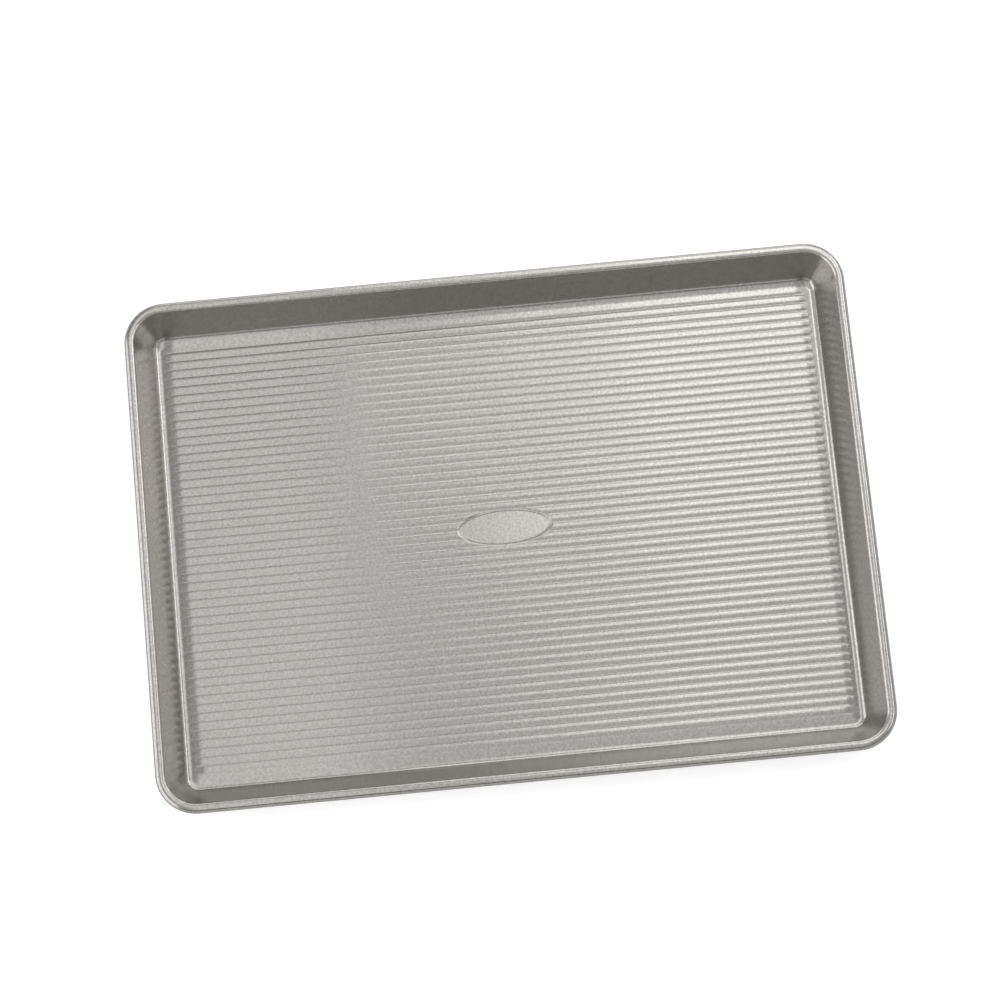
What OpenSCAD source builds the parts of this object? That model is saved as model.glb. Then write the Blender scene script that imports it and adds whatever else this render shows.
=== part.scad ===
// Jelly roll pan: one drawn steel sheet with a fluted floor, rolled over a steel wire at the rim.
// Millimetres. The origin is the centre of the resting plane, X runs along the pan and Z is up.

/* [Pan] */
// Length of the pan over its rolled rim
pan_length = 457; // [340:1:560]
// Width of the pan over its rolled rim
pan_width = 326.2; // [240:0.2:420]
// Height from the resting plane to the top of the rim
pan_height = 25.4; // [18:0.2:31]
// Thickness of the coated sheet
sheet_t = 0.7; // [0.5:0.05:1]
// Distance from the rim's outer edge in to the flat floor, which sets how far the walls lean
wall_run = 21.35; // [14:0.05:23]
// Radius of the rim's outer edge at a corner, seen from above
corner_r = 25.4; // [22:0.2:42]
// Radius inside the bend between the floor and the walls
bend_r = 5.5; // [2:0.25:7]

/* [Rim] */
// Diameter of the steel wire inside the rim
wire_d = 5.1; // [3:0.1:6]
// Room between the wire and the sheet rolled over it
wire_clear = 0.1; // [0.05:0.01:0.3]
// Distance between the two cut ends of the wire
wire_gap = 2; // [0.5:0.25:10]
// Gap left between the rolled sheet's free edge and the outside of the wall
curl_gap = 0.5; // [0.3:0.05:1]

/* [Flutes] */
// Distance from one flute to the next
flute_pitch = 5.55; // [4:0.05:9]
// Height of a flute above the flat floor
flute_h = 0.8; // [0.5:0.05:1]
// Width of the flat valley between two flutes
valley_w = 0.6; // [0.3:0.05:1.5]
// Distance from the far wall's bend to the foot of the first flute
far_border = 0.4; // [0:0.1:20]
// Least distance from the near wall's bend to the foot of the last flute
near_border = 4; // [0:0.1:20]
// Distance from the side walls' bends to the tips of the flutes
tip_border = 1.2; // [0.2:0.1:30]
// How much shorter each end of the first and the last flute is
corner_trim = 2.5; // [0:0.25:8]

/* [Oval panel] */
// Length of the flat oval panel, over its bead
panel_length = 58.6; // [30:0.2:90]
// Width of the flat oval panel, over its bead
panel_width = 22.4; // [12:0.2:50]
// Distance along the pan from the middle of the fluted field to the panel's centre
panel_x = 0; // [-80:1:80]
// Distance across the pan from the middle of the fluted field to the panel's centre
panel_offset = -0.2; // [-60:0.2:60]
// Width of the raised bead round the panel
bead_w = 1; // [0.6:0.1:2]
// Height of the bead above the flat floor
bead_h = 0.5; // [0.2:0.05:0.9]

/* [Hidden] */
$fn = 96;

// Corner centres: the rim, the wall and the floor edge are all concentric there
corner_x = pan_length/2 - corner_r;
corner_y = pan_width/2 - corner_r;

// Rolled rim: outer and inner radius of the roll, and its centre seen from a corner's centre
roll_r = wire_d/2 + wire_clear + sheet_t;
bore_r = roll_r - sheet_t;
rim_u = corner_r - roll_r;
rim_z = pan_height - roll_r;

// Start of the bend beside the floor, seen from a corner's centre, and the bend's own centre height
bend_u = corner_r - wall_run;
bend_z = sheet_t + bend_r;

// Lean away from upright of the wall that touches both the bend and the roll
rise = rim_z - bend_z;
run = rim_u - bend_u;
wall_lean = acos((roll_r + bend_r)/sqrt(rise*rise + run*run)) - atan2(rise, run);

// The wall meets the roll at this angle, and the free edge stops short of the wall's outside
wall_angle = 180 - wall_lean;
edge_angle = wall_angle + acos((bore_r - curl_gap)/roll_r);
roll_turn = 360 - (edge_angle - wall_angle);

// Steps in the round stretches of the section
roll_steps = 36;
bend_steps = 8;

// Half lengths of the flat floor, up to the bends
floor_x = corner_x + bend_u;
floor_y = corner_y + bend_u;

// Flute section: an arc of this radius over the chord that the valley leaves
flute_w = flute_pitch - valley_w;
flute_r = (flute_w*flute_w/4 + flute_h*flute_h)/(2*flute_h);
flute_z = sheet_t + flute_h - flute_r;

// As many flutes as the floor has room for, from the far wall on
field_w = 2*floor_y - far_border - near_border;
flute_count = floor((field_w - flute_w)/flute_pitch) + 1;
first_y = floor_y - far_border - flute_w/2;
flute_length = 2*(floor_x - tip_border);

// Oval panel: its centre across the pan, and the steps in its outline
panel_y = first_y - (flute_count - 1)*flute_pitch/2 + panel_offset;
oval_steps = 72;

// How far a cutting block stands clear of what it cuts
cut_margin = 1;

function arc(u, z, r, from, turn, steps) =
    [for (i = [0 : steps]) [u + r*cos(from + turn*i/steps), z + r*sin(from + turn*i/steps)]];

// Section of the sheet beyond the flat floor, seen from a corner's centre: bend, wall and roll
module wall_section() {
    upper_side = concat(
        arc(bend_u, bend_z, bend_r, -90, 90 - wall_lean, bend_steps),
        arc(rim_u, rim_z, roll_r, wall_angle, -roll_turn, roll_steps)
    );
    under_side = concat(
        arc(rim_u, rim_z, bore_r, wall_angle - roll_turn, roll_turn, roll_steps),
        arc(bend_u, bend_z, bend_r + sheet_t, -wall_lean, wall_lean - 90, bend_steps)
    );
    polygon(concat(upper_side, under_side));
}

// One straight side, its section swept along a length and centred on the X axis
module straight_side(length) {
    rotate([90, 0, 0])
        linear_extrude(height = length, center = true)
            children();
}

// Both long sides, both short sides and the four corners of a section
module around_the_pan() {
    for (turn = [0, 180]) {
        rotate([0, 0, turn])
            translate([corner_x, 0, 0])
                straight_side(2*corner_y)
                    children();
        rotate([0, 0, turn + 90])
            translate([corner_y, 0, 0])
                straight_side(2*corner_x)
                    children();
    }
    for (side = [0, 1], end = [0, 1])
        mirror([side, 0, 0])
            mirror([0, end, 0])
                translate([corner_x, corner_y, 0])
                    rotate_extrude(angle = 90)
                        children();
}

// The flat floor up to the bends, with its corners rounded
module floor_plate() {
    difference() {
        translate([-floor_x, -floor_y, 0])
            cube([2*floor_x, 2*floor_y, sheet_t]);
        for (side = [0, 1], end = [0, 1])
            mirror([side, 0, 0])
                mirror([0, end, 0])
                    translate([corner_x, corner_y, -cut_margin])
                        difference() {
                            cube([bend_u + cut_margin, bend_u + cut_margin, sheet_t + 2*cut_margin]);
                            cylinder(r = bend_u, h = sheet_t + 2*cut_margin);
                        }
    }
}

module plain_tray() {
    floor_plate();
    around_the_pan()
        wall_section();
}

// A long bar with domed ends, lying along X with its centre line at the flute's centre
module domed_bar(length, r) {
    translate([0, 0, flute_z])
        rotate([0, 90, 0])
            rotate_extrude()
                intersection() {
                    union() {
                        square([2*r, length], center = true);
                        for (end = [-1, 1])
                            translate([0, end*length/2])
                                circle(r = r);
                    }
                    translate([0, -length])
                        square([2*r, 2*length]);
                }
}

// Bars for all flutes, cut away over the oval panel and a clear band round it
module flute_bars(r, band) {
    for (i = [0 : flute_count - 1]) {
        at_y = first_y - i*flute_pitch;
        is_end = i == 0 || i == flute_count - 1;
        bar = flute_length - flute_w - (is_end ? 2*corner_trim : 0);
        if (abs(at_y - panel_y) > panel_width/2 + band + r)
            translate([0, at_y, 0])
                domed_bar(bar, r);
        else
            difference() {
                translate([0, at_y, 0])
                    domed_bar(bar, r);
                oval_block(-band, -flute_r, 2*flute_r);
            }
    }
}

// Upright block with the oval panel's outline, drawn in by an inset
module oval_block(inset, z, h) {
    half_x = panel_length/2 - inset;
    half_y = panel_width/2 - inset;
    outline = [for (i = [0 : oval_steps - 1]) [half_x*cos(360*i/oval_steps), half_y*sin(360*i/oval_steps)]];
    translate([panel_x, panel_y, z])
        linear_extrude(height = h)
            polygon(outline);
}

module panel_bead() {
    difference() {
        oval_block(0, sheet_t/2, sheet_t/2 + bead_h);
        oval_block(bead_w, 0, sheet_t + bead_h + cut_margin);
    }
}

module pan_body() {
    color([0.66, 0.65, 0.63])
        difference() {
            union() {
                plain_tray();
                intersection() {
                    flute_bars(flute_r, 0);
                    translate([-floor_x, -floor_y, sheet_t/2])
                        cube([2*floor_x, 2*floor_y, flute_r]);
                }
                panel_bead();
            }
            flute_bars(flute_r - sheet_t, sheet_t);
        }
}

module rim_wire() {
    color([0.5, 0.5, 0.52])
        difference() {
            around_the_pan()
                translate([rim_u, rim_z])
                    circle(d = wire_d);
            translate([-wire_gap/2, corner_y, rim_z - wire_d])
                cube([wire_gap, corner_r, 2*wire_d]);
        }
}

pan_body();
rim_wire();
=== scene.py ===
import math

import bpy
import numpy as np
from mathutils import Euler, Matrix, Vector


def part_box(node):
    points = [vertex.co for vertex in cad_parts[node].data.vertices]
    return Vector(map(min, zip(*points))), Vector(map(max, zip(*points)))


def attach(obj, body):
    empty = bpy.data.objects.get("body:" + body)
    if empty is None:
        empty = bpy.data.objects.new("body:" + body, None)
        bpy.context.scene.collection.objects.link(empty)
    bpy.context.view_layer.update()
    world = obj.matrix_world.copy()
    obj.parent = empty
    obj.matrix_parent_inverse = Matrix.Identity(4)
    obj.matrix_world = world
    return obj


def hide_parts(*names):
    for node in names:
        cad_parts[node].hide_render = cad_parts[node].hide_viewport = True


# A jelly roll pan seen from above: the fluted sheet, the wire in its rim, a pale studio and the camera.
# All lengths are in metres, in the frame of the CAD part, and angles are in degrees.

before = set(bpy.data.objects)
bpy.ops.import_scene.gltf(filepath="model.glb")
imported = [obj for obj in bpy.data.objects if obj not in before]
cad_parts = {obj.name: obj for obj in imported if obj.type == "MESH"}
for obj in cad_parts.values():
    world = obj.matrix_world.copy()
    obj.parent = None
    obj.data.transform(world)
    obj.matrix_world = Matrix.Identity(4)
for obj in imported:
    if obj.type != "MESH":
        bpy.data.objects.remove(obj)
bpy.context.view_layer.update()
pan_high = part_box("pan_body")[1]

MM = 0.001

# Sheet and rim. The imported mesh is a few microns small, so its sizes are rounded to 0.01 mm
DIGITS = 5
HALF_X = round(pan_high.x, DIGITS)
HALF_Y = round(pan_high.y, DIGITS)
HEIGHT = round(pan_high.z, DIGITS)
SHEET = 0.7*MM
CORNER_R = 25.4*MM
ROLL_R = 3.35*MM
BORE_R = ROLL_R - SHEET
CURL_GAP = 0.5*MM

# Walls: the distance from the rim's outer edge in to the floor, and the radius of the bend between them,
# on the near and side walls and on the far wall
WALL_RUN = 21.15*MM
BEND_R = 4*MM
FAR_WALL_RUN = 23.4*MM
FAR_BEND_R = 7.5*MM

# How far the fluted field stands above the crease, and the width of the border that slopes down to it
CROWN = 0.7*MM
CROWN_RUN = 8*MM

# Flutes, with their long tips and softly blended feet
FLUTE_COUNT = 50
PITCH = 5.55*MM
FLUTE_H = 0.65*MM
VALLEY_W = 0.2*MM
FIRST_Y = 138.875*MM
TIP_X = 207*MM
TIP_RUN = 7*MM
CORNER_TRIM = 2.5*MM
FOOT_BLEND = 0.07*MM
TIP_BLEND = 0.25*MM

# Oval panel: its place and half lengths over the bead, the bead, and where the flutes run out beside it
PANEL_X = 0.0
PANEL_OFFSET = -0.2*MM
PANEL_A = 29.3*MM
PANEL_B = 11.2*MM
BEAD_W = 1.2*MM
BEAD_H = 0.35*MM
BEAD_POWER = 1.3
RIDGE_FADE = 1.1*MM

# Mesh: shares of half a pitch that get a row of points, the rectangle left free round the oval panel,
# the distance between points along it, and the panel's inner rings as shares of its size
UPPER_SHARES = (-0.97, -0.9, -0.75, -0.55, -0.3, 0, 0.3, 0.55, 0.75, 0.9, 0.97, 1)
UNDER_SHARES = (-0.96, -0.7, -0.35, 0, 0.35, 0.7, 0.96, 1)
PANEL_HOLE_X = 33*MM
PANEL_HOLE_Y = 14.6*MM
PANEL_STEP = 1*MM
PANEL_RINGS = (1.0, 0.97, 0.6, 0.0)

# Studio: the angles above the horizon between which the white backdrop fades out, the strength of the
# ceiling above it, and the floor's glow for gloss and, beside the pan, for the camera. The glow for the
# camera rises to white between two distances from the pan's centre, as the lamps' light falls off there.
BACKDROP_ENDS = (12, 22)
CEILING = 0.12
GLOSS_GLOW = 0.18
CAMERA_GLOW = 0.62
GLOW_RISE = (0.4, 1.1)

# Softboxes: name, place, aim, width, depth and power. Where two overlap they lie at different heights,
# because gloss sees only one of two softboxes in one plane.
SOFTBOXES = (
    ("ceiling_far", (0.2, 0.4, 0.93), (0.2, 0.4, 0), 0.4, 0.8, 0.87),
    ("ceiling_wide", (0, -0.2, 0.95), (0, -0.2, 0), 0.8, 2, 1.79),
    ("strip_far", (0.2, 0.34, 0.2), (0.2, 0, 0), 0.6, 0.14, 0.3),
    ("overhead", (0, 0, 0.45), (0, 0, 0), 1.54, 1.54, 3.72),
    ("overhead_right", (0.44, 0.33, 0.44), (0.44, 0.33, 0), 0.66, 0.44, 0.56),
    ("overhead_left", (-0.22, 0, 0.46), (-0.22, 0, 0), 0.22, 1.54, 0.34),
    ("side_right", (0.7, 0.175, 0.52), (0, 0.175, 0.52), 1.05, 0.32, 2.2),
    ("side_far", (0, 0.7, 0.18), (0, 0, 0.18), 0.7, 0.32, 0.59),
    ("side_left", (-0.7, -0.175, 0.35), (0, -0.175, 0.35), 1.05, 0.64, 3.42),
)

# Places that follow from the sizes. GROOVE is how far the bend dips below the border's edge
CORNER_X = HALF_X - CORNER_R
CORNER_Y = HALF_Y - CORNER_R
RIM_U = CORNER_R - ROLL_R
RIM_Z = HEIGHT - ROLL_R
ROLL_TURN = 360 - math.degrees(math.acos((BORE_R - CURL_GAP)/ROLL_R))
GROOVE = BEND_R*(1 - math.cos(math.atan(2*CROWN/CROWN_RUN)))
FLUTE_W = PITCH - VALLEY_W
FLUTE_R = (FLUTE_W**2/4 + FLUTE_H**2)/(2*FLUTE_H)
PANEL_Y = FIRST_Y - (FLUTE_COUNT - 1)*PITCH/2 + PANEL_OFFSET


def smoothstep(value, low, high):
    t = np.clip((value - low)/(high - low), 0.0, 1.0)
    return t*t*(3 - 2*t)


def panel_distance(x, y):
    """Rough distance outwards from the outer edge of the oval bead."""
    radius = np.hypot((x - PANEL_X)/PANEL_A, (y - PANEL_Y)/PANEL_B)
    angle = np.arctan2((y - PANEL_Y)/PANEL_B, (x - PANEL_X)/PANEL_A)
    local = PANEL_A*PANEL_B/np.hypot(PANEL_B*np.cos(angle), PANEL_A*np.sin(angle))
    return (radius - 1)*local


def ridge_share(x, y):
    """The flutes run out just outside the oval bead."""
    return smoothstep(panel_distance(x, y), 0.0, RIDGE_FADE)


def ridge_height(x, y):
    """Height of the flutes above the field: arcs with long domed ends and softly blended feet.

    The first flute stays at its crest's height up to the far bend.
    """
    index = np.clip(np.round((FIRST_Y - y)/PITCH), 0, FLUTE_COUNT - 1)
    across = np.minimum(y - (FIRST_Y - index*PITCH), np.where(index == 0, 0.0, PITCH))
    trim = np.where((index == 0) | (index == FLUTE_COUNT - 1), CORNER_TRIM, 0.0)
    reach = TIP_X - TIP_RUN - trim
    beyond = np.clip((np.abs(x) - reach)/TIP_RUN, 0.0, 2.0)
    distance = np.minimum(np.hypot(across, beyond*FLUTE_W/2), FLUTE_R)
    rise = np.sqrt(FLUTE_R**2 - distance**2) - (FLUTE_R - FLUTE_H)
    blend = FOOT_BLEND + (TIP_BLEND - FOOT_BLEND)*np.minimum(beyond, 1.0)
    foot = (rise + blend)**2/(4*blend)
    return np.where(np.abs(rise) < blend, foot, np.maximum(rise, 0.0))*ridge_share(x, y)


def crown(x, y):
    """Height of the field and its sloping border above the crease along the near and the side walls."""
    inside = np.minimum(np.maximum(CORNER_X - np.abs(x), 0.0), np.maximum(CORNER_Y + y, 0.0))
    beyond = np.hypot(np.maximum(np.abs(x) - CORNER_X, 0.0), np.maximum(-y - CORNER_Y, 0.0))
    share = 1 - (CORNER_R - WALL_RUN + inside - beyond)/CROWN_RUN
    return GROOVE + (CROWN - GROOVE)*(1 - np.maximum(share, 0.0)**2)


def floor_height(x, y):
    return ridge_height(x, y) + crown(x, y)


def bead_height(x, y):
    """A round bead along the outline of the oval panel."""
    t = (panel_distance(x, y) + BEAD_W/2)/(BEAD_W/2)
    return BEAD_H*np.cos(np.clip(t, -1, 1)*math.pi/2)**BEAD_POWER


def upper_floor(x, y):
    return np.stack([x, y, SHEET + floor_height(x, y) + bead_height(x, y)], -1)


def under_floor(x, y):
    """The sheet's underside: the fluted surface set back along its normal by the sheet's thickness."""
    step = 0.02*MM
    slope_x = (floor_height(x + step, y) - floor_height(x - step, y))/(2*step)
    slope_y = (floor_height(x, y + step) - floor_height(x, y - step))/(2*step)
    size = np.sqrt(1 + slope_x**2 + slope_y**2)
    z = SHEET + floor_height(x, y) - SHEET/size
    return np.stack([x + SHEET*slope_x/size, y + SHEET*slope_y/size, z], -1)


class Patches:
    """Collects grids of points as quads, and rows of wider faces, and welds them into one mesh."""

    def __init__(self):
        self.points = []
        self.faces = []
        self.count = 0

    def add(self, points):
        """Keeps an array of points and gives their numbers in the same rows and columns."""
        index = self.count + np.arange(points[..., 0].size).reshape(points.shape[:-1])
        self.points.append(points.reshape(-1, 3))
        self.count += index.size
        return index

    def grid(self, points, flip=False, closed=False):
        """A grid of rows and columns of points. A closed grid's last column joins its first."""
        index = self.add(points)
        if closed:
            index = np.concatenate([index, index[:, :1]], 1)
        quads = np.stack([index[:-1, :-1], index[:-1, 1:], index[1:, 1:], index[1:, :-1]], -1)
        quads = quads.reshape(-1, 4)
        self.faces += (quads[:, ::-1] if flip else quads).tolist()

    def seam(self, fine, coarse, stops, flip=False):
        """Faces between two rows. The stops are the coarse points' places in the fine row."""
        fine, coarse = self.add(fine).tolist(), self.add(coarse).tolist()
        for i in range(len(stops) - 1):
            face = fine[stops[i]:stops[i + 1] + 1] + [coarse[i + 1], coarse[i]]
            self.faces.append(face[::-1] if flip else face)

    def mesh(self, name):
        """One mesh, with points that share a place welded and faces that shrink to a line left out."""
        points = np.concatenate(self.points)
        weld_size = 1e-7
        keys = np.round(points/weld_size).astype(np.int64)
        first, inverse = np.unique(keys, axis=0, return_index=True, return_inverse=True)[1:]
        number = inverse.reshape(-1).tolist()
        corners = []
        for face in self.faces:
            ring = [number[v] for v in face]
            ring = [v for i, v in enumerate(ring) if v != ring[i - 1]]
            if len(set(ring)) == len(ring) and len(ring) > 2:
                corners.append(ring)
        mesh = bpy.data.meshes.new(name)
        mesh.from_pydata(points[first].tolist(), [], corners)
        mesh.validate()
        return mesh


def arc(u, z, r, start, turn, steps):
    angles = np.radians(start + turn*np.arange(steps + 1)/steps)
    return [(u + r*math.cos(a), z + r*math.sin(a)) for a in angles]


def between(a, b, shares):
    return [(a[0] + (b[0] - a[0])*s, a[1] + (b[1] - a[1])*s) for s in shares]


def wall_and_rim(edge_u, bend_r, lift, slope):
    """The sheet's section from the floor's edge, up and round the rim, and back along its outer side."""
    bend_steps, under_steps, roll_steps, bore_steps = 20, 12, 48, 24
    wall_shares = (0.015, 0.08, 0.5, 0.92, 0.985)
    edge_shares = (0.08, 0.92)
    start = math.degrees(math.atan(slope))
    bend_u = edge_u - bend_r*math.sin(math.atan(slope))
    bend_z = SHEET + lift + bend_r*math.cos(math.atan(slope))
    rise, run = RIM_Z - bend_z, RIM_U - bend_u
    lean = math.degrees(math.acos((ROLL_R + bend_r)/math.hypot(rise, run)) - math.atan2(rise, run))
    up = arc(bend_u, bend_z, bend_r, start - 90, 90 - lean - start, bend_steps)
    roll_out = arc(RIM_U, RIM_Z, ROLL_R, 180 - lean, -ROLL_TURN, roll_steps)
    roll_in = arc(RIM_U, RIM_Z, BORE_R, 180 - lean - ROLL_TURN, ROLL_TURN, bore_steps)
    down = arc(bend_u, bend_z, bend_r + SHEET, -lean, lean + start - 90, under_steps)
    inner_wall = between(up[-1], roll_out[0], wall_shares)
    outer_wall = between(roll_in[-1], down[0], wall_shares)
    free_edge = between(roll_out[-1], roll_in[0], edge_shares)
    return up + inner_wall + roll_out + free_edge + roll_in + outer_wall + down


def outline(rows, columns):
    """Base points on the corner centres' rectangle and outward directions, once round the pan."""
    corner_steps = 24
    turn = np.linspace(0, math.pi/2, corner_steps + 1)
    one, zero = np.ones_like, np.zeros_like
    parts = []
    sides = (
        (CORNER_X*one(rows), rows, one(rows), zero(rows), (CORNER_X, CORNER_Y)),
        (columns[::-1], CORNER_Y*one(columns), zero(columns), one(columns), (-CORNER_X, CORNER_Y)),
        (-CORNER_X*one(rows), rows[::-1], -one(rows), zero(rows), (-CORNER_X, -CORNER_Y)),
        (columns, -CORNER_Y*one(columns), zero(columns), -one(columns), (CORNER_X, -CORNER_Y)),
    )
    for quarter, (x, y, dx, dy, (corner_x, corner_y)) in enumerate(sides):
        parts.append(np.stack([x, y, dx, dy], -1))
        angle = turn[1:-1] + quarter*math.pi/2
        corner = corner_x*one(angle), corner_y*one(angle), np.cos(angle), np.sin(angle)
        parts.append(np.stack(corner, -1))
    return np.concatenate(parts)


def far_share(around):
    """How much a place round the pan belongs to the far side: 0 on the other sides, and 1 on that side."""
    return smoothstep(around[:, 3], 0.0, 1.0)


def floor_reach(around):
    """Distance from the corner centres' rectangle out to the bend."""
    return CORNER_R - WALL_RUN - (FAR_WALL_RUN - WALL_RUN)*far_share(around)


def floor_edge(around):
    reach = floor_reach(around)
    return around[:, 0] + reach*around[:, 2], around[:, 1] + reach*around[:, 3]


def flute_rows(shares):
    """Places across the pan at the same shares of half a pitch from each flute's crest."""
    crests = FIRST_Y - PITCH*np.arange(-1, FLUTE_COUNT + 1)
    rows = np.sort((crests[:, None] + np.array(shares)*PITCH/2).reshape(-1))
    clear = 0.1*MM
    inside = rows[(rows > -CORNER_Y + clear) & (rows < CORNER_Y - clear)]
    return np.concatenate([[-CORNER_Y], inside, [CORNER_Y]])


def wall_rows():
    """Places across the pan that the walls keep: one in each valley."""
    return flute_rows([1.0])


def floor_columns():
    """Places along the pan: few along the straight flutes, and close together at the tips."""
    tip_columns = 7
    clear = 0.3*MM
    tips = np.linspace(TIP_X - TIP_RUN - CORNER_TRIM - clear, CORNER_X, tip_columns)
    half = np.concatenate([[PANEL_HOLE_X, 0.25*CORNER_X, 0.5*CORNER_X, 0.75*CORNER_X], tips])
    return np.concatenate([-half[::-1], half])


def panel_patch(patches, rows, surface, flip):
    """Rings from the rectangle that is left free inwards to the panel. Gives the rectangle's columns."""
    across = round(2*PANEL_HOLE_X/PANEL_STEP)
    fine = np.linspace(-PANEL_HOLE_X, PANEL_HOLE_X, across + 1)
    edge = np.concatenate([
        np.stack([np.full(len(rows) - 1, fine[-1]), rows[:-1]], -1),
        np.stack([fine[:0:-1], np.full(across, rows[-1])], -1),
        np.stack([np.full(len(rows) - 1, fine[0]), rows[:0:-1]], -1),
        np.stack([fine[:-1], np.full(across, rows[0])], -1),
    ])
    angle = np.arctan2((edge[:, 1] - PANEL_Y)/PANEL_B, (edge[:, 0] - PANEL_X)/PANEL_A)
    oval = np.stack([PANEL_X + PANEL_A*np.cos(angle), PANEL_Y + PANEL_B*np.sin(angle)], -1)
    outer_steps, bead_steps = 20, 10
    inner = 1.1*BEAD_W
    rings = [oval + (edge - oval)*(1 - i/outer_steps) for i in range(outer_steps)]
    bead_rings = [(BEAD_W*i/bead_steps, 1.0) for i in range(bead_steps + 1)]
    inner_rings = [(inner, share) for share in PANEL_RINGS]
    for inset, share in bead_rings + inner_rings:
        a, b = (PANEL_A - inset)*share, (PANEL_B - inset)*share
        rings.append(np.stack([PANEL_X + a*np.cos(angle), PANEL_Y + b*np.sin(angle)], -1))
    grid = np.stack(rings)
    patches.grid(surface(grid[..., 0], grid[..., 1]), flip=flip, closed=True)
    return fine


def floor_side(patches, surface, shares, columns, flip):
    """One side of the floor: straight blocks, the oval panel, and the border up to the bends."""
    rows = flute_rows(shares)
    hole = np.where(np.abs(rows - PANEL_Y) < PANEL_HOLE_Y)[0]
    r0, r1 = hole[0], hole[-1]
    middle = len(columns)//2
    left, right = columns[:middle], columns[middle:]
    for row_part, column_part in (
        (rows[:r0], columns), (rows[r1 + 1:], columns),
        (rows[r0 - 1:r1 + 2], left), (rows[r0 - 1:r1 + 2], right),
    ):
        x, y = np.meshgrid(column_part, row_part)
        patches.grid(surface(x, y), flip=flip)
    fine = panel_patch(patches, rows[r0:r1 + 1], surface, flip)
    ends = np.array([fine[0], fine[-1]])
    for near, beyond, turned in ((rows[r0], rows[r0 - 1], True), (rows[r1], rows[r1 + 1], False)):
        patches.seam(surface(fine, np.full_like(fine, near)), surface(ends, np.full_like(ends, beyond)),
                     [0, len(fine) - 1], flip=flip != turned)
    around = outline(rows, columns)
    border_steps = 10
    u = floor_reach(around)*np.arange(border_steps)[:, None]/border_steps
    ring_x = around[:, 0] + u*around[:, 2]
    ring_y = around[:, 1] + u*around[:, 3]
    patches.grid(surface(ring_x, ring_y), flip=not flip, closed=True)
    kept = outline(wall_rows(), columns)
    stops = [int(np.argmin(np.abs(around - point).sum(1))) for point in kept] + [len(around)]
    last = np.append(ring_x[-1], ring_x[-1, 0]), np.append(ring_y[-1], ring_y[-1, 0])
    edge = surface(*floor_edge(np.concatenate([kept, kept[:1]])))
    patches.seam(surface(*last), edge, stops, flip=not flip)


def walls(patches, columns):
    """The section of bend, wall and rim, swept round the pan and joined to both sides of the floor."""
    around = outline(wall_rows(), columns)
    edge = floor_edge(around)
    step = 0.001*MM
    before = edge[0] - step*around[:, 2], edge[1] - step*around[:, 3]
    slope = (floor_height(*edge) - floor_height(*before))/step
    bend_r = BEND_R + (FAR_BEND_R - BEND_R)*far_share(around)
    sections = np.array([wall_and_rim(*values) for values in zip(
        floor_reach(around), bend_r, floor_height(*edge), slope)])
    u, z = sections[..., 0].T, sections[..., 1].T
    side = np.stack([around[:, 0] + u*around[:, 2], around[:, 1] + u*around[:, 3], z], -1)
    side[0] = upper_floor(*edge)
    side[-1] = under_floor(*edge)
    patches.grid(side, flip=True, closed=True)


def build_pan():
    columns = floor_columns()
    patches = Patches()
    floor_side(patches, upper_floor, UPPER_SHARES, columns, flip=False)
    floor_side(patches, under_floor, UNDER_SHARES, columns, flip=True)
    walls(patches, columns)
    mesh = patches.mesh("pan_sheet")
    mesh.shade_smooth()
    sharp_above = 50
    mesh.set_sharp_from_angle(angle=math.radians(sharp_above))
    pan = bpy.data.objects.new("pan_sheet", mesh)
    bpy.context.scene.collection.objects.link(pan)
    return pan


class Nodes:
    """Short names for adding and joining shader nodes in the emptied tree of a material or a world."""

    def __init__(self, owner):
        owner.use_nodes = True
        self.tree = owner.node_tree
        self.tree.nodes.clear()

    def add(self, kind, inputs=(), **settings):
        node = self.tree.nodes.new(kind)
        for key, value in settings.items():
            setattr(node, key, value)
        for key, value in dict(inputs).items():
            if isinstance(value, bpy.types.NodeSocket):
                self.tree.links.new(value, node.inputs[key])
            else:
                node.inputs[key].default_value = value
        return node

    def noise(self, place, scale, detail, roughness):
        return self.add("ShaderNodeTexNoise", {
            "Vector": place, "Scale": scale, "Detail": detail, "Roughness": roughness}).outputs["Fac"]

    def larger(self, first, second):
        return self.add("ShaderNodeMath", {0: first, 1: second}, operation="MAXIMUM").outputs[0]

    def times(self, value, factor):
        return self.add("ShaderNodeMath", {0: value, 1: factor}, operation="MULTIPLY").outputs[0]

    def ramp(self, factor, stops):
        """A colour ramp whose stops are pairs of a place and a colour."""
        node = self.add("ShaderNodeValToRGB", {"Fac": factor})
        for element, (place, colour) in zip(node.color_ramp.elements, stops):
            element.position = place
            element.color = (*colour, 1)
        return node.outputs["Color"]

    def surface(self, shader, output="ShaderNodeOutputMaterial"):
        self.add(output, {"Surface": shader.outputs[0]})


def metal(name):
    """A material with one metallic shader, its nodes, and the shader's inputs."""
    material = bpy.data.materials.new(name)
    nodes = Nodes(material)
    shader = nodes.add("ShaderNodeBsdfPrincipled", {"Metallic": 1.0})
    nodes.surface(shader)
    return material, nodes, shader.inputs


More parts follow.
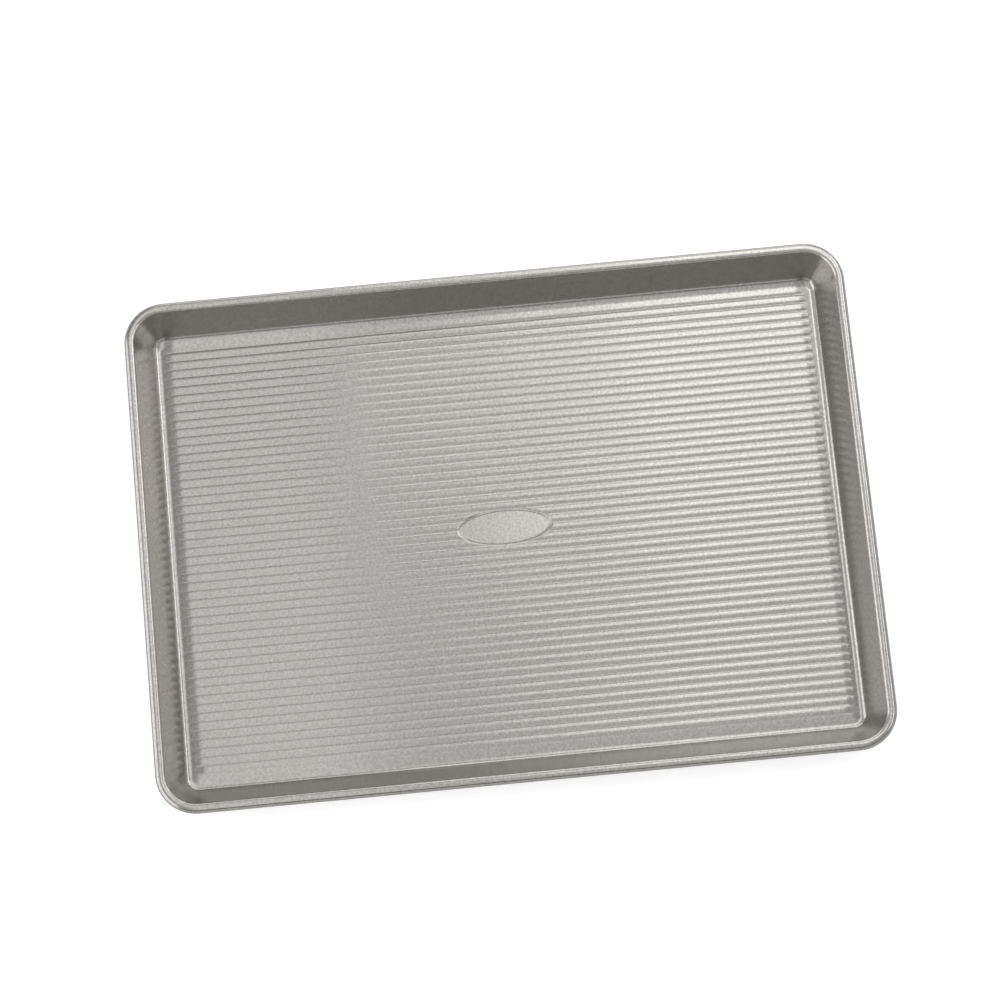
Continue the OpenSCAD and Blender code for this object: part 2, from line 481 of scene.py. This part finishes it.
def coated_sheet():
    """Satin grey release coating with a fine grain, over steel."""
    material, nodes, inputs = metal("coated_sheet")
    join = nodes.tree.links.new
    place = nodes.add("ShaderNodeTexCoord").outputs["Object"]
    grain = nodes.noise(place, 1500.0, 3.0, 0.6)
    speckle = nodes.noise(place, 620.0, 2.0, 0.5)
    cloud = nodes.noise(place, 14.0, 3.0, 0.55)
    light, dark = (0.42, 0.408, 0.392), (0.335, 0.322, 0.306)
    join(nodes.ramp(speckle, ((0.3, dark), (0.7, light))), inputs["Base Color"])
    rough = nodes.add("ShaderNodeMapRange", {
        "Value": cloud, "From Min": 0.3, "From Max": 0.7, "To Min": 0.2, "To Max": 0.24})
    join(rough.outputs["Result"], inputs["Roughness"])
    coarse = nodes.add("ShaderNodeBump", {"Height": speckle, "Strength": 0.25, "Distance": 0.06*MM})
    fine = nodes.add("ShaderNodeBump", {
        "Height": grain, "Strength": 0.25, "Distance": 0.03*MM, "Normal": coarse.outputs["Normal"]})
    join(fine.outputs["Normal"], inputs["Normal"])
    return material


def drawn_wire():
    """Plain drawn steel with faint marks."""
    material, nodes, inputs = metal("drawn_wire")
    join = nodes.tree.links.new
    place = nodes.add("ShaderNodeTexCoord").outputs["Object"]
    marks = nodes.noise(place, 900.0, 2.0, 0.5)
    dark, light = (0.40, 0.40, 0.42), (0.52, 0.52, 0.54)
    join(nodes.ramp(marks, ((0.3, dark), (0.7, light))), inputs["Base Color"])
    inputs["Roughness"].default_value = 0.35
    bump = nodes.add("ShaderNodeBump", {"Height": marks, "Strength": 0.2, "Distance": 0.05*MM})
    join(bump.outputs["Normal"], inputs["Normal"])
    return material


def studio_world():
    """A white backdrop all round that fades out a little above the horizon, under a dim ceiling.

    The camera and glass see white all over. Gloss sees the backdrop and the ceiling, and the pan is lit by
    them as well.
    """
    world = bpy.data.worlds.new("studio")
    nodes = Nodes(world)
    direction = nodes.add("ShaderNodeTexCoord").outputs["Generated"]
    height = nodes.add("ShaderNodeSeparateXYZ", {"Vector": direction}).outputs["Z"]
    low, high = (math.sin(math.radians(angle)) for angle in BACKDROP_ENDS)
    backdrop = nodes.add("ShaderNodeMapRange", {
        "Value": height, "From Min": low, "From Max": high, "To Min": 1.0, "To Max": CEILING})
    path = nodes.add("ShaderNodeLightPath").outputs
    plain = nodes.larger(path["Is Camera Ray"], path["Is Transmission Ray"])
    strength = nodes.larger(plain, backdrop.outputs["Result"])
    background = nodes.add("ShaderNodeBackground", {"Color": (1, 1, 1, 1), "Strength": strength})
    nodes.surface(background, "ShaderNodeOutputWorld")
    bpy.context.scene.world = world


def floor_paint():
    """Pale paint that keeps the shadow. It glows, so that the camera sees white, and less for gloss."""
    material = bpy.data.materials.new("studio_floor")
    nodes = Nodes(material)
    paint = nodes.add("ShaderNodeBsdfDiffuse", {"Color": (0.6, 0.6, 0.6, 1)})
    path = nodes.add("ShaderNodeLightPath").outputs
    gloss = nodes.times(nodes.larger(path["Is Glossy Ray"], path["Is Transmission Ray"]), GLOSS_GLOW)
    place = nodes.add("ShaderNodeTexCoord").outputs["Object"]
    distance = nodes.add("ShaderNodeVectorMath", {0: place}, operation="LENGTH").outputs["Value"]
    near, far = GLOW_RISE
    rise = nodes.add("ShaderNodeMapRange", {
        "Value": distance, "From Min": near, "From Max": far, "To Min": CAMERA_GLOW, "To Max": 1.0})
    camera = nodes.times(path["Is Camera Ray"], rise.outputs["Result"])
    glow = nodes.add("ShaderNodeEmission", {"Color": (1, 1, 1, 1), "Strength": nodes.larger(camera, gloss)})
    nodes.surface(nodes.add("ShaderNodeAddShader", {0: paint.outputs[0], 1: glow.outputs[0]}))
    return material


def studio_floor():
    """A wide pale floor just under the pan."""
    half = 30.0
    drop = 0.02*MM
    corners = [(-half, -half, 0), (half, -half, 0), (half, half, 0), (-half, half, 0)]
    mesh = bpy.data.meshes.new("studio_floor")
    mesh.from_pydata(corners, [], [(0, 1, 2, 3)])
    mesh.materials.append(floor_paint())
    floor = bpy.data.objects.new("studio_floor", mesh)
    floor.location.z = -drop
    bpy.context.scene.collection.objects.link(floor)


def softbox(name, place, aim, width, depth, power):
    lamp = bpy.data.lights.new(name, "AREA")
    lamp.shape = "RECTANGLE"
    lamp.size = width
    lamp.size_y = depth
    lamp.energy = power
    holder = bpy.data.objects.new(name, lamp)
    holder.location = place
    holder.rotation_euler = (Vector(aim) - Vector(place)).to_track_quat("-Z", "Y").to_euler()
    holder.visible_camera = False
    bpy.context.scene.collection.objects.link(holder)


def studio_camera():
    """Nearly straight down from the near side, turned a little, with a long lens."""
    data = bpy.data.cameras.new("camera")
    data.lens = 122.3
    data.sensor_width = 36.0
    turn = (13.437, 0.6795, -5.3928)
    camera = bpy.data.objects.new("camera", data)
    camera.location = (-23.80*MM, -477.24*MM, 2082.78*MM)
    camera.rotation_euler = Euler([math.radians(angle) for angle in turn], "XYZ")
    bpy.context.scene.collection.objects.link(camera)
    bpy.context.scene.camera = camera


pan = build_pan()
pan.data.materials.append(coated_sheet())
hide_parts("pan_body")
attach(pan, "root")

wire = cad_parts["rim_wire"]
wire.data.materials.clear()
wire.data.materials.append(drawn_wire())

studio_world()
studio_floor()
for box in SOFTBOXES:
    softbox(*box)
studio_camera()

bpy.context.scene.view_settings.view_transform = "Standard"
